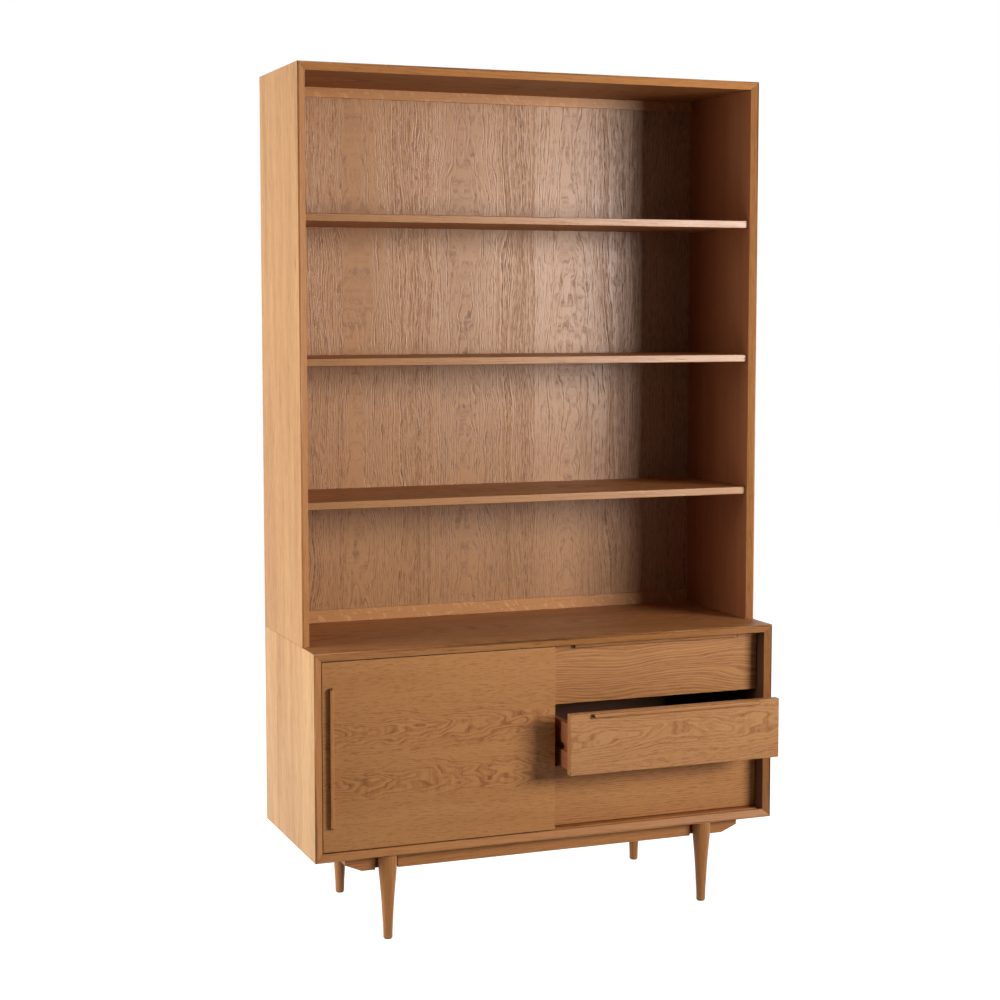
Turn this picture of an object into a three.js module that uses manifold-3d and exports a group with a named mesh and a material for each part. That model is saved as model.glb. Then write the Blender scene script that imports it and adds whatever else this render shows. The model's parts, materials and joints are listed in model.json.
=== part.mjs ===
// A bookcase standing on a lower case with a sliding door and three drawers.
// Millimetres, +Z up, x to the right, y to the rear, so the front faces -y.
// Shapes are written in case coordinates: x from the left side, y from the lower
// case's front, z from the floor. The last lines move the origin to the middle of
// the floor that the bookcase takes up with its middle drawer standing open.
import * as THREE from 'three';
import { ConvexGeometry } from 'three/addons/geometries/ConvexGeometry.js';
import { mergeVertices } from 'three/addons/utils/BufferGeometryUtils.js';
import Module from 'manifold-3d';

const wasm = await Module();
wasm.setup();

// Overall sizes
const caseWidth = 1100;
const lowerDepth = 412;
const lowerHeight = 453;
const upperDepth = 321;
const upperHeight = 1250;
const legHeight = 187;

// Gaps between pieces
const seat = 0.1;          // between faces that are glued or rest on each other
const fit = 0.3;           // round a piece that is let into another
const overrun = 5;         // how far a cutter passes the face that it opens
const weld = 0.0001;       // vertices closer than this are one

// Case panels and their mitred, rounded front edge
const panel = 18;
const bevelDepth = 10;     // how far the front face falls back across the panel
const noseRadius = 3.5;
const noseSteps = 5;

// Back panels, set in a rebate, and the rails across the upper back
const backThickness = 5;
const rebateDepth = 8;
const backRailThickness = 10;
const topRailHeight = 22.5;
const bottomRailHeight = 28;
const bottomRailGap = 1;   // over the lower case's top
const railLap = 12;        // how far the back panel goes up behind a rail

// Shelves, housed in the upper sides
const shelfThickness = 17;
const shelfSetback = 15;
const shelfPitch = 310;
const lowShelfTop = 312.5; // over the lower case's top
const housingDepth = 5;
const shelfEase = 1.5;
const shelfNames = ['shelf_low', 'shelf_middle', 'shelf_high'];

// Dowels between the upper sides and the lower case
const dowelRadius = 4;
const dowelLength = 36;
const dowelEase = 1;
const dowelSides = 16;
const dowelInset = 55;     // from the upper unit's front and rear

// Sliding door
const doorSet = 9;         // its face behind the case's front
const doorThickness = 18;
const doorSideGap = 1.5;
const doorFloorGap = 2;
const doorBehindGap = 3;   // to the divider's front edge
const doorShortfall = 1;   // its right edge inside the divider's right face
const doorEase = 1;
const grooveWidth = 8;
const grooveDepth = 6;
const grooveEndInset = 4;  // from the case sides
const glideLength = 40;
const glideInset = 60;     // glide centre from the door's end
const glideInDoor = 14;
const glideEngage = 4;     // how far a top guide stands in its groove
const glideEndSteps = 6;

// Pulls: a bar with its finger side cut away and its ends rounded
const pullProjection = 10;
const pullWidth = 8;
const pullUndercut = 3.5;
const pullEase = 1.5;
const pullEndRadius = 8;
const pullEndSteps = 5;
const doorPullInset = 15.5; // from the door's left edge
const doorPullRise = 51;   // from the door's lower edge
const doorPullDrop = 56;   // from the door's upper edge
const drawerPullInset = 51.5; // from the ends of the drawer front
const drawerPullDrop = 1.5; // from the drawer front's upper edge

// Drawers
const drawerSet = 40;      // drawer fronts behind the case's front
const drawerGap = 2;       // round and between the fronts
const frontThickness = 18;
const frontEase = 1;
const frontOverhang = 12;  // of a front past its drawer's sides
const sideThickness = 13;
const sideHeight = 104;
const sideRise = 3;        // over the front's lower edge
const drawerRearGap = 9;   // to the back panel
const drawerBackDrop = 6;  // of the drawer's back below its sides
const bottomThickness = 6;
const bottomRise = 8;      // over the sides' lower edge
const bottomLap = 6;       // into the sides and the front
const middleDrawerOut = 110;
const drawerNames = ['bottom', 'middle', 'top'];

// Runner strips on the divider and the right side, in the drawer sides' grooves
const runnerHeight = 16;
const runnerRise = 41;     // over the drawer side's lower edge
const runnerEngage = 7;
const runnerSideClearance = 1;
const runnerBelowClearance = 1.2;
const runnerGrooveInset = 12; // groove's closed end behind the drawer front
const runnerEndSteps = 8;

// Stretchers under the lower case, notched round the legs
const stretcherHeight = 34;
const stretcherThickness = 34;
const stretcherSet = 30;
const stretcherEndInset = 74;
const stretcherEndHeight = 18;
const stretcherChamfer = 38;
const notchWidth = 52;

// Turned legs
const legInsetX = 168.5;
const legInsetY = 23;
const legTopRadius = 21;
const legTipRadius = 10.2;
const legSides = 28;
const legTipEase = 1.2;
const spigotRadius = 11;
const spigotLength = 13;
const footGlideRadius = 8.5;
const footGlideThickness = 2;
// Depth down the leg, and how much of the taper is done there
const legTaperShares = [
  [0, 0], [0.08, 0.03], [0.17, 0.09], [0.33, 0.33], [0.53, 0.61], [0.73, 0.81], [0.89, 0.96],
];

// Places worked out from the sizes above
const caseFloor = legHeight;
const lowerTop = legHeight + lowerHeight;
const unitTop = lowerTop + upperHeight;
const upperFront = lowerDepth - upperDepth;
const innerLeft = panel;
const innerRight = caseWidth - panel;
const innerFloor = caseFloor + panel;
const innerCeiling = lowerTop - panel;
const backFace = lowerDepth - backThickness;
const dividerLeft = (caseWidth - panel) / 2;
const dividerRight = dividerLeft + panel;
const dividerFront = doorSet + doorThickness + doorBehindGap;
const doorLeft = innerLeft + doorSideGap;
const doorRight = dividerRight - doorShortfall;
const doorBottom = innerFloor + doorFloorGap;
const doorTop = innerCeiling - doorFloorGap;
const doorMiddle = doorSet + doorThickness / 2;
const doorPullTop = doorTop - doorPullDrop;
const doorPullLength = doorPullTop - doorBottom - doorPullRise;
const drawerCount = drawerNames.length;
const frontLeft = dividerRight + drawerGap;
const frontRight = innerRight - drawerGap;
const drawerPullLeft = frontLeft + drawerPullInset;
const drawerPullLength = frontRight - drawerPullInset - drawerPullLeft;
const frontHeight = (innerCeiling - innerFloor - drawerGap * (drawerCount + 1)) / drawerCount;
const frontBack = drawerSet + frontThickness;
const boxLeft = frontLeft + frontOverhang;
const boxRight = frontRight - frontOverhang;
const boxRear = backFace - drawerRearGap;
const notchBack = legInsetY + legTopRadius + fit;

const finish = {
  oak: { color: 0xb98350, roughness: 0.55, metalness: 0 },
  oakFront: { color: 0xb47c48, roughness: 0.5, metalness: 0 },
  oakBack: { color: 0xad7446, roughness: 0.6, metalness: 0 },
  oakSolid: { color: 0xb47f4e, roughness: 0.5, metalness: 0 },
  drawerWood: { color: 0x9c5b3a, roughness: 0.6, metalness: 0 },
  plywood: { color: 0xc9a77c, roughness: 0.7, metalness: 0 },
  beech: { color: 0xcfa980, roughness: 0.6, metalness: 0 },
  nylon: { color: 0x3a2f28, roughness: 0.5, metalness: 0 },
};

const bookcase = new THREE.Group();

// Closed solids from geometries and back, for joining and cutting
function toSolid(geometry) {
  const bare = geometry.clone();
  bare.deleteAttribute('normal');
  bare.deleteAttribute('uv');
  const merged = mergeVertices(bare, weld);
  const vertProperties = Float32Array.from(merged.attributes.position.array);
  const triVerts = Uint32Array.from(merged.index.array);
  return new wasm.Manifold(new wasm.Mesh({ numProp: 3, vertProperties, triVerts }));
}

function toGeometry(solid) {
  const mesh = solid.getMesh();
  const geometry = new THREE.BufferGeometry();
  geometry.setAttribute('position', new THREE.BufferAttribute(mesh.vertProperties, 3));
  geometry.setIndex(new THREE.BufferAttribute(mesh.triVerts, 1));
  geometry.computeVertexNormals();
  return geometry;
}

function cut(geometry, ...tools) {
  return toGeometry(tools.reduce((solid, tool) => solid.subtract(toSolid(tool)), toSolid(geometry)));
}

function addPiece(name, geometry, look) {
  const mesh = new THREE.Mesh(geometry, new THREE.MeshStandardMaterial(finish[look]));
  mesh.name = name;
  bookcase.add(mesh);
}

// A block between two corners, each an array of x, y and z
function block(low, high) {
  const size = high.map((value, axis) => value - low[axis]);
  const middle = high.map((value, axis) => (value + low[axis]) / 2);
  return new THREE.BoxGeometry(...size).translate(...middle);
}

// The same block, larger by a margin all round
function grown(low, high, margin) {
  return block(low.map((value) => value - margin), high.map((value) => value + margin));
}

// A block with eased edges round its two large faces. thinAxis is 0, 1 or 2.
function board(low, high, thinAxis, ease) {
  const [across, along] = [[1, 2], [2, 0], [0, 1]][thinAxis];
  const outline = new THREE.Shape();
  outline.moveTo(low[across] + ease, low[along] + ease);
  outline.lineTo(high[across] - ease, low[along] + ease);
  outline.lineTo(high[across] - ease, high[along] - ease);
  outline.lineTo(low[across] + ease, high[along] - ease);
  const thickness = high[thinAxis] - low[thinAxis];
  const geometry = new THREE.ExtrudeGeometry(outline, {
    depth: thickness - 2 * ease,
    bevelEnabled: true,
    bevelThickness: ease,
    bevelSize: ease,
    bevelSegments: 2,
  });
  geometry.translate(0, 0, low[thinAxis] + ease);
  return turnOutline(geometry, thinAxis);
}

// An outline drawn in the plane across an axis and extruded along it
function turnOutline(geometry, axis) {
  const order = [[2, 0, 1], [1, 2, 0], [0, 1, 2]][axis];
  const position = geometry.attributes.position;
  for (let index = 0; index < position.count; index += 1) {
    const point = [position.getX(index), position.getY(index), position.getZ(index)];
    position.setXYZ(index, ...order.map((from) => point[from]));
  }
  geometry.computeVertexNormals();
  return geometry;
}

// Points in the plane across an axis, extruded between two places on it
function prism(points, axis, from, to) {
  const outline = new THREE.Shape(points.map(([u, v]) => new THREE.Vector2(u, v)));
  const geometry = new THREE.ExtrudeGeometry(outline, { depth: to - from, bevelEnabled: false });
  geometry.translate(0, 0, from);
  return turnOutline(geometry, axis);
}

// A slot with round ends in the plane across an axis, as points
function slotPoints(uLow, uHigh, vMiddle, radius, steps) {
  const points = [];
  for (const [centre, start] of [[uHigh - radius, -Math.PI / 2], [uLow + radius, Math.PI / 2]]) {
    for (let step = 0; step <= steps; step += 1) {
      const angle = start + (Math.PI * step) / steps;
      points.push([centre + radius * Math.cos(angle), vMiddle + radius * Math.sin(angle)]);
    }
  }
  return points;
}

// Section of a case panel: distance in from its outer face, and depth from its front
function panelSection(depth) {
  const slope = new THREE.Vector2(panel, bevelDepth).normalize();
  const outward = new THREE.Vector2(0, 1);
  const halfAngle = outward.angleTo(slope) / 2;
  const centre = outward.clone().add(slope).normalize().multiplyScalar(noseRadius / Math.sin(halfAngle));
  const points = [];
  const startAngle = Math.PI;
  const endAngle = Math.atan2(-slope.x, slope.y) + 2 * Math.PI;
  for (let step = 0; step <= noseSteps; step += 1) {
    const angle = startAngle + ((endAngle - startAngle) * step) / noseSteps;
    points.push([centre.x + noseRadius * Math.cos(angle), centre.y + noseRadius * Math.sin(angle)]);
  }
  const foremost = centre.y - noseRadius;
  const flush = points.map(([inward, back]) => [inward, back - foremost]);
  return [...flush, [panel, bevelDepth - foremost], [panel, depth], [0, depth]];
}

// A case panel whose ends are mitred where asked. place turns distance in from the
// outer face, depth from the front and distance along the panel into x, y and z.
function casePanel(depth, length, mitreStart, mitreEnd, place) {
  const corners = [];
  for (const [inward, back] of panelSection(depth)) {
    const start = mitreStart ? inward + seat : 0;
    const end = mitreEnd ? length - inward - seat : length;
    corners.push(new THREE.Vector3(...place(inward, back, start)));
    corners.push(new THREE.Vector3(...place(inward, back, end)));
  }
  return new ConvexGeometry(corners);
}

// Back panels
const lowerBackLow = [innerLeft - rebateDepth, backFace, innerFloor - rebateDepth];
const lowerBackHigh = [innerRight + rebateDepth, lowerDepth, innerCeiling + rebateDepth];
const topRailFoot = unitTop - panel - topRailHeight;
const bottomRailFoot = lowerTop + bottomRailGap;
const bottomRailTop = bottomRailFoot + bottomRailHeight;
const upperBackLow = [innerLeft - rebateDepth, backFace, bottomRailTop - railLap];
const upperBackHigh = [innerRight + rebateDepth, lowerDepth, topRailFoot + railLap];
const lowerBackCut = grown(lowerBackLow, [lowerBackHigh[0], lowerDepth + overrun, lowerBackHigh[2]], seat);
const upperBackCut = grown(upperBackLow, [upperBackHigh[0], lowerDepth + overrun, upperBackHigh[2]], seat);
addPiece('lower_back_panel', block(lowerBackLow, lowerBackHigh), 'oakBack');
addPiece('upper_back_panel', block(upperBackLow, upperBackHigh), 'oakBack');

// Dowels through the joint between the two units, and the holes for them
function dowelAt(x, y, radius, low, high) {
  const profile = [
    [0, low], [radius - dowelEase, low], [radius, low + dowelEase],
    [radius, high - dowelEase], [radius - dowelEase, high], [0, high],
  ];
  return lathe(profile, dowelSides).translate(x, y, 0);
}

// A closed turned solid about the z axis, from points of radius and height
function lathe(profile, sides) {
  const points = profile.map(([radius, height]) => new THREE.Vector2(radius, height));
  return new THREE.LatheGeometry(points, sides).rotateX(Math.PI / 2);
}

const dowelHoles = { left: [], right: [] };
for (const [side, x] of [['left', panel / 2], ['right', caseWidth - panel / 2]]) {
  for (const [end, y] of [['front', upperFront + dowelInset], ['rear', lowerDepth - dowelInset]]) {
    const low = lowerTop - dowelLength / 2;
    const high = lowerTop + dowelLength / 2;
    addPiece(`dowel_${end}_${side}`, dowelAt(x, y, dowelRadius, low, high), 'beech');
    dowelHoles[side].push(dowelAt(x, y, dowelRadius + fit, low - fit, high + fit));
  }
}

// Grooves for the door in the lower case's floor and ceiling
const grooveFront = doorMiddle - grooveWidth / 2;
const grooveBack = doorMiddle + grooveWidth / 2;
const grooveLeft = innerLeft + grooveEndInset;
const grooveRight = innerRight - grooveEndInset;
const floorGroove = block(
  [grooveLeft, grooveFront, innerFloor - grooveDepth],
  [grooveRight, grooveBack, innerFloor + overrun],
);
const ceilingGroove = block(
  [grooveLeft, grooveFront, innerCeiling - overrun],
  [grooveRight, grooveBack, innerCeiling + grooveDepth],
);

// Legs, their foot glides and the holes for their spigots
const legPlaces = [
  ['front_left', legInsetX, legInsetY],
  ['front_right', caseWidth - legInsetX, legInsetY],
  ['rear_left', legInsetX, lowerDepth - legInsetY],
  ['rear_right', caseWidth - legInsetX, lowerDepth - legInsetY],
];
const legTop = caseFloor - seat;
const legTip = footGlideThickness + seat;
const spigotHoles = [];

function legProfile() {
  const taper = legTaperShares.map(([downShare, taperShare]) => [
    legTopRadius + (legTipRadius - legTopRadius) * taperShare,
    legTop + (legTip - legTop) * downShare,
  ]);
  return [
    [0, caseFloor + spigotLength],
    [spigotRadius, caseFloor + spigotLength],
    [spigotRadius, legTop],
    ...taper,
    [legTipRadius, legTip + legTipEase],
    [legTipRadius - legTipEase, legTip],
    [0, legTip],
  ].reverse();
}

for (const [name, x, y] of legPlaces) {
  addPiece(`leg_${name}`, lathe(legProfile(), legSides).translate(x, y, 0), 'oakSolid');
  const glide = [
    [0, 0], [footGlideRadius, 0], [footGlideRadius, footGlideThickness], [0, footGlideThickness],
  ];
  addPiece(`foot_glide_${name}`, lathe(glide, legSides).translate(x, y, 0), 'nylon');
  const hole = [
    [0, caseFloor - overrun], [spigotRadius + fit, caseFloor - overrun],
    [spigotRadius + fit, caseFloor + spigotLength + fit], [0, caseFloor + spigotLength + fit],
  ];
  spigotHoles.push(lathe(hole, legSides).translate(x, y, 0));
}

// Lower case: two sides, floor and ceiling, mitred at all four corners
const lowerPlaces = {
  lower_side_left: [lowerHeight, (inward, back, along) => [inward, back, caseFloor + along]],
  lower_side_right: [lowerHeight, (inward, back, along) => [caseWidth - inward, back, caseFloor + along]],
  lower_bottom: [caseWidth, (inward, back, along) => [along, back, caseFloor + inward]],
  lower_top: [caseWidth, (inward, back, along) => [along, back, lowerTop - inward]],
};
const lowerCuts = {
  lower_side_left: [lowerBackCut, ...dowelHoles.left],
  lower_side_right: [lowerBackCut, ...dowelHoles.right],
  lower_bottom: [lowerBackCut, floorGroove, ...spigotHoles],
  lower_top: [lowerBackCut, ceilingGroove, ...dowelHoles.left, ...dowelHoles.right],
};
for (const [name, [length, place]] of Object.entries(lowerPlaces)) {
  const whole = casePanel(lowerDepth, length, true, true, place);
  addPiece(name, cut(whole, ...lowerCuts[name]), 'oak');
}

// Divider between the door's compartment and the drawers
addPiece('divider', block(
  [dividerLeft, dividerFront, innerFloor + seat],
  [dividerRight, backFace - seat, innerCeiling - seat],
), 'oak');

// Shelves and their housings
const housings = [];
shelfNames.forEach((name, index) => {
  const top = lowerTop + lowShelfTop + shelfPitch * index;
  const low = [innerLeft - housingDepth, upperFront + shelfSetback, top - shelfThickness];
  const high = [innerRight + housingDepth, backFace - seat, top];
  addPiece(name, board(low, high, 2, shelfEase), 'oak');
  housings.push(grown(low, [high[0], backFace + overrun, high[2]], seat));
});

// Upper unit: sides mitred to the top and standing on the lower case
const upperLength = upperHeight - seat;
const upperFoot = lowerTop + seat;
const upperPlaces = {
  upper_side_left: (inward, back, along) => [inward, upperFront + back, upperFoot + along],
  upper_side_right: (inward, back, along) => [caseWidth - inward, upperFront + back, upperFoot + along],
};
for (const [name, place] of Object.entries(upperPlaces)) {
  const whole = casePanel(upperDepth, upperLength, false, true, place);
  const holes = name.endsWith('left') ? dowelHoles.left : dowelHoles.right;
  addPiece(name, cut(whole, upperBackCut, ...housings, ...holes), 'oak');
}
const topPlace = (inward, back, along) => [along, upperFront + back, unitTop - inward];
addPiece('upper_top', casePanel(upperDepth, caseWidth, true, true, topPlace), 'oak');

// Rails across the upper back, rebated behind for the back panel
const backRails = {
  back_rail_top: [topRailFoot, unitTop - panel - seat],
  back_rail_bottom: [bottomRailFoot, bottomRailTop],
};
for (const [name, [foot, head]] of Object.entries(backRails)) {
  const low = [innerLeft + seat, lowerDepth - backRailThickness, foot];
  const high = [innerRight - seat, lowerDepth, head];
  addPiece(name, cut(block(low, high), upperBackCut), 'oakSolid');
}

// A pull: a bar along u, its section in v and w, where w stands out from the face
function pullBar(length, place) {
  const section = [
    [pullWidth, 0],
    [pullWidth, pullProjection - pullEase],
    [pullWidth - pullEase, pullProjection],
    [pullEase, pullProjection],
    [0, pullProjection - pullEase],
    [pullUndercut, 0],
  ];
  const bar = prism(section, 0, 0, length);
  const plan = [[0, -pullEase]];
  for (const [centre, start] of [[pullEndRadius, Math.PI], [length - pullEndRadius, Math.PI / 2]]) {
    for (let step = 0; step <= pullEndSteps; step += 1) {
      const angle = start - (Math.PI / 2) * (step / pullEndSteps);
      const rise = pullProjection - pullEndRadius;
      plan.push([centre + pullEndRadius * Math.cos(angle), rise + pullEndRadius * Math.sin(angle)]);
    }
  }
  plan.push([length, -pullEase]);
  const swapped = plan.map(([along, out]) => [out, along]);
  const ends = prism(swapped, 1, -overrun, pullWidth + overrun);
  const geometry = toGeometry(toSolid(bar).intersect(toSolid(ends)));
  const position = geometry.attributes.position;
  for (let index = 0; index < position.count; index += 1) {
    const [u, v, w] = [position.getX(index), position.getY(index), position.getZ(index)];
    position.setXYZ(index, ...place(u, v, w));
  }
  geometry.computeVertexNormals();
  return geometry;
}

// Door, with glides let into its lower edge and guides into its upper edge
const doorHolders = [];
for (const [side, x] of [['left', doorLeft + glideInset], ['right', doorRight - glideInset]]) {
  const radius = grooveWidth / 2 - fit;
  const low = x - glideLength / 2;
  const high = x + glideLength / 2;
  const heights = {
    glide: [innerFloor - grooveDepth + fit, doorBottom + glideInDoor],
    guide: [doorTop - glideInDoor, innerCeiling + glideEngage],
  };
  for (const [kind, [foot, head]] of Object.entries(heights)) {
    const plan = slotPoints(low, high, doorMiddle, radius, glideEndSteps);
    addPiece(`door_${kind}_${side}`, prism(plan, 2, foot, head), 'nylon');
    const mortise = slotPoints(low - fit, high + fit, doorMiddle, radius + fit, glideEndSteps);
    doorHolders.push(prism(mortise, 2, foot - fit, head + fit));
  }
}
const doorLow = [doorLeft, doorSet, doorBottom];
const doorHigh = [doorRight, doorSet + doorThickness, doorTop];
const doorBoard = board(doorLow, doorHigh, 1, doorEase);
addPiece('door_panel', cut(doorBoard, ...doorHolders), 'oakFront');
addPiece('door_pull', pullBar(doorPullLength, (u, v, w) => [
  doorLeft + doorPullInset + v,
  doorSet - seat - w,
  doorPullTop - u,
]), 'oakSolid');

// One drawer and its two runner strips
function addDrawer(name, index, out) {
  const floor = innerFloor + drawerGap + (frontHeight + drawerGap) * index;
  const sideFloor = floor + sideRise;
  const sideTop = sideFloor + sideHeight;
  const face = drawerSet - out;
  const boxFront = frontBack + seat - out;
  const rear = boxRear - out;

  const bottomLow = [
    boxLeft + sideThickness - bottomLap, frontBack - bottomLap - out, sideFloor + bottomRise,
  ];
  const bottomHigh = [boxRight - sideThickness + bottomLap, rear, sideFloor + bottomRise + bottomThickness];
  const bottomCut = grown(bottomLow, [bottomHigh[0], rear + overrun, bottomHigh[2]], fit);
  addPiece(`drawer_${name}_bottom`, block(bottomLow, bottomHigh), 'plywood');

  const frontHigh = [frontRight, frontBack - out, floor + frontHeight];
  const front = board([frontLeft, face, floor], frontHigh, 1, frontEase);
  addPiece(`drawer_${name}_front`, cut(front, bottomCut), 'oakFront');

  const runnerFoot = sideFloor + runnerRise;
  const runnerHead = runnerFoot + runnerHeight;
  const grooveHead = runnerHead + fit;
  const grooveFoot = runnerFoot - runnerBelowClearance;
  const grooveRadius = (grooveHead - grooveFoot) / 2;
  const groovePlan = slotPoints(
    boxFront + runnerGrooveInset, rear + overrun + grooveRadius,
    (grooveHead + grooveFoot) / 2, grooveRadius, runnerEndSteps,
  );
  const sides = {
    left: [boxLeft, boxLeft + sideThickness, dividerRight + seat, boxLeft + runnerEngage],
    right: [boxRight - sideThickness, boxRight, boxRight - runnerEngage, innerRight - seat],
  };
  for (const [side, [low, high, runnerLow, runnerHigh]] of Object.entries(sides)) {
    const whole = block([low, boxFront, sideFloor], [high, rear, sideTop]);
    const reach = runnerEngage + runnerSideClearance;
    const groove = side === 'left'
      ? prism(groovePlan, 0, low - overrun, low + reach)
      : prism(groovePlan, 0, high - reach, high + overrun);
    addPiece(`drawer_${name}_side_${side}`, cut(whole, groove, bottomCut), 'drawerWood');
    const runnerFront = frontBack + runnerGrooveInset + grooveRadius;
    const runner = block([runnerLow, runnerFront, runnerFoot], [runnerHigh, backFace - seat, runnerHead]);
    addPiece(`runner_${name}_${side}`, runner, 'beech');
  }

  addPiece(`drawer_${name}_back`, block(
    [boxLeft + sideThickness + seat, rear - sideThickness, sideFloor + bottomRise + bottomThickness + fit],
    [boxRight - sideThickness - seat, rear, sideTop - drawerBackDrop],
  ), 'drawerWood');

  const pullTop = floor + frontHeight - drawerPullDrop;
  addPiece(`drawer_${name}_pull`, pullBar(drawerPullLength, (u, v, w) => [
    drawerPullLeft + u,
    face - seat - w,
    pullTop - pullWidth + v,
  ]), 'oakSolid');
}
drawerNames.forEach((name, index) => addDrawer(name, index, name === 'middle' ? middleDrawerOut : 0));

// Stretchers: chamfered at the ends and notched where the legs stand
const stretcherOutline = [
  [caseFloor - stretcherEndHeight, stretcherEndInset],
  [caseFloor - seat, stretcherEndInset],
  [caseFloor - seat, caseWidth - stretcherEndInset],
  [caseFloor - stretcherEndHeight, caseWidth - stretcherEndInset],
  [caseFloor - stretcherHeight, caseWidth - stretcherEndInset - stretcherChamfer],
  [caseFloor - stretcherHeight, stretcherEndInset + stretcherChamfer],
];
const stretchers = {
  stretcher_front: [stretcherSet, stretcherSet + stretcherThickness, stretcherSet - overrun, notchBack],
  stretcher_rear: [
    lowerDepth - stretcherSet - stretcherThickness, lowerDepth - stretcherSet,
    lowerDepth - notchBack, lowerDepth - stretcherSet + overrun,
  ],
};
for (const [name, [front, rear, notchLow, notchHigh]] of Object.entries(stretchers)) {
  const whole = prism(stretcherOutline, 1, front, rear);
  const notches = [legInsetX, caseWidth - legInsetX].map((x) => block(
    [x - notchWidth / 2, notchLow, caseFloor - stretcherHeight - overrun],
    [x + notchWidth / 2, notchHigh, caseFloor + overrun],
  ));
  addPiece(name, cut(whole, ...notches), 'oakSolid');
}

// Origin on the floor, in the middle of the bookcase with its middle drawer open
const foremost = drawerSet - middleDrawerOut - seat - pullProjection;
bookcase.position.set(-caseWidth / 2, -(lowerDepth + foremost) / 2, 0);

export default bookcase;
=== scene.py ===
import json
import math

import bmesh
import bpy
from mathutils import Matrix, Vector


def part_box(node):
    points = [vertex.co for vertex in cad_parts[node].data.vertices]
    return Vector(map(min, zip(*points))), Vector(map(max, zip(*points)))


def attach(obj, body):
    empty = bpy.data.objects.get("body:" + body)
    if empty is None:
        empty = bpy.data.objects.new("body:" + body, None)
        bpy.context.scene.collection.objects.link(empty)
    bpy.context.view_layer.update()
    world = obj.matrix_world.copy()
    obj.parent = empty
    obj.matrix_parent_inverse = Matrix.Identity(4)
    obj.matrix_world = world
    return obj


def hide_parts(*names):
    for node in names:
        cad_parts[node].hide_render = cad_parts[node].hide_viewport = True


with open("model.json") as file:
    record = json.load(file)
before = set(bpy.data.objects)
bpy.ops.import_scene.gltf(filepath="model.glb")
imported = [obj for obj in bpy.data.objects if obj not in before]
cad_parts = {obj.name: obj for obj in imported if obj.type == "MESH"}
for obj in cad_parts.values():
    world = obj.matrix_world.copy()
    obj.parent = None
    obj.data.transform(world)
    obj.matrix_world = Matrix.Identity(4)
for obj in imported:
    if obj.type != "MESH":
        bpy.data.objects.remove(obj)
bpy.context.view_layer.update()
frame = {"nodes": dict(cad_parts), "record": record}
nodes = frame["nodes"]
bodies = frame["record"]["behaviour"]["bodies"]
bodyOf = {node: body for body, members in bodies.items() for node in members}
print("frame loaded:", len(nodes), "nodes")

# Camera, at the photograph's viewing angle. The frame is square.
cameraSpec = {
    "place": (-1.6674, -4.1212, 1.37),
    "turnRight": math.radians(21.268),
    "tiltDown": math.radians(4.867),
    "focalPixels": 1957.7,
    "framePixels": 1000,
    "sensor": 36.0,
    "shiftUp": -0.025,  # no more, so that the top stays in the frame of the other views
}


def addCamera(spec):
    data = bpy.data.cameras.new("studioCamera")
    data.sensor_width = spec["sensor"]
    data.lens = spec["focalPixels"] / spec["framePixels"] * spec["sensor"]
    data.shift_y = spec["shiftUp"]
    camera = bpy.data.objects.new("studioCamera", data)
    camera.location = spec["place"]
    camera.rotation_euler = (math.radians(90) - spec["tiltDown"], 0, -spec["turnRight"])
    bpy.context.collection.objects.link(camera)
    bpy.context.scene.camera = camera


addCamera(cameraSpec)


# Small helpers for node trees
def addNode(tree, kind, inputs=None, **settings):
    made = tree.nodes.new(kind)
    for key, value in settings.items():
        setattr(made, key, value)
    for key, value in (inputs or {}).items():
        if isinstance(value, bpy.types.NodeSocket):
            tree.links.new(value, made.inputs[key])
        else:
            made.inputs[key].default_value = value
    return made


def calc(tree, operation, first, second=None, third=None):
    values = enumerate((first, second, third))
    given = {index: value for index, value in values if value is not None}
    return addNode(tree, "ShaderNodeMath", given, operation=operation).outputs[0]


def spread(tree, value, low, high, outLow=0.0, outHigh=1.0):  # a smooth step between two values
    given = {"Value": value, "From Min": low, "From Max": high, "To Min": outLow, "To Max": outHigh}
    made = addNode(tree, "ShaderNodeMapRange", given, interpolation_type="SMOOTHSTEP")
    return made.outputs["Result"]


def noise(tree, point, scale=1.0, detail=2.0, roughness=0.5):
    given = {"Vector": point, "Scale": scale, "Detail": detail, "Roughness": roughness}
    return addNode(tree, "ShaderNodeTexNoise", given, noise_dimensions="3D").outputs["Fac"]


def chanceOf(tree, key):  # random, but the same each time for the same key
    return addNode(tree, "ShaderNodeTexWhiteNoise", {"W": key}, noise_dimensions="1D").outputs


def joinPoint(tree, along, across, depth):
    return addNode(tree, "ShaderNodeCombineXYZ", {"X": along, "Y": across, "Z": depth}).outputs[0]


def objectPoint(tree):
    return addNode(tree, "ShaderNodeTexCoord").outputs["Object"]


def newMaterial(name):
    material = bpy.data.materials.new(name)
    material.use_nodes = True
    material.node_tree.nodes.clear()
    return material, material.node_tree


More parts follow.
